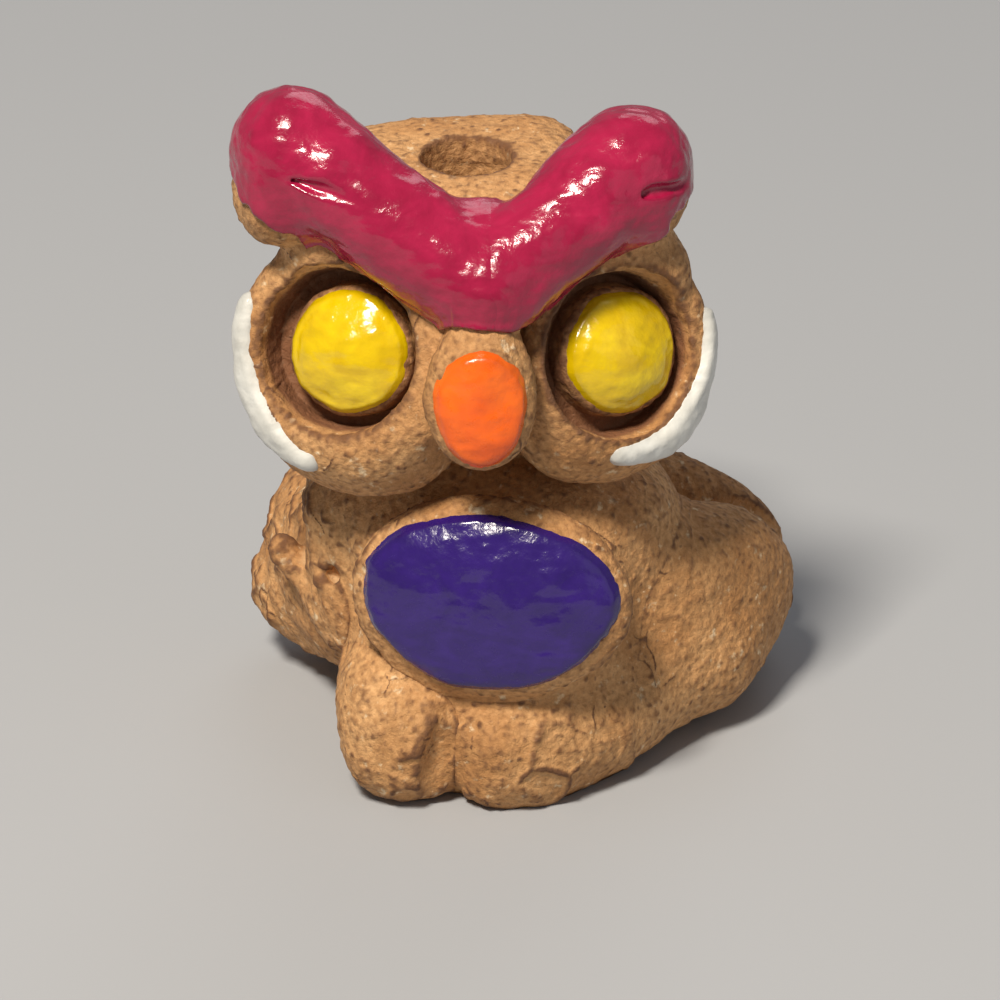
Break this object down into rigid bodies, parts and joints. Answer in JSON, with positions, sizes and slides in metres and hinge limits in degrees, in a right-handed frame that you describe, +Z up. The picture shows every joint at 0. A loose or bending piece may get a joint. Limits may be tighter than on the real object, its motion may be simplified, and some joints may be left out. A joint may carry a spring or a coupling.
{
  "type": "clay owl bead",
  "caption": "Small hand-modelled fired-clay owl bead with enamel-painted brow, eyes, beak and belly, and a vertical stringing bore.",
  "frame": {"origin": "bottom centre of the bounding box, on the plane the owl stands on", "axes": "+Z up through the crown, -Y the way the owl looks, +X the owl's own left side"},
  "size_m": [0.0136, 0.011, 0.017],
  "materials": {
    "fired_clay": "matte",
    "magenta_enamel": "gloss",
    "yellow_enamel": "gloss",
    "orange_enamel": "satin",
    "purple_enamel": "gloss",
    "white_enamel": "satin"
  },
  "bodies": {
    "root": {"head": "fired_clay", "body": "fired_clay", "tail": "fired_clay", "beak": "fired_clay", "belly_pad": "fired_clay", "left_eye_lobe": "fired_clay", "left_eye_pellet": "fired_clay", "left_brow_coil": "fired_clay", "left_wing": "fired_clay", "left_foot": "fired_clay", "right_eye_lobe": "fired_clay", "right_eye_pellet": "fired_clay", "right_brow_coil": "fired_clay", "right_wing": "fired_clay", "right_foot": "fired_clay", "beak_enamel": "orange_enamel", "belly_enamel": "purple_enamel", "left_eye_enamel": "yellow_enamel", "left_brow_enamel": "magenta_enamel", "left_cheek_enamel": "white_enamel", "right_eye_enamel": "yellow_enamel", "right_brow_enamel": "magenta_enamel", "right_cheek_enamel": "white_enamel"}
  },
  "joints": []
}
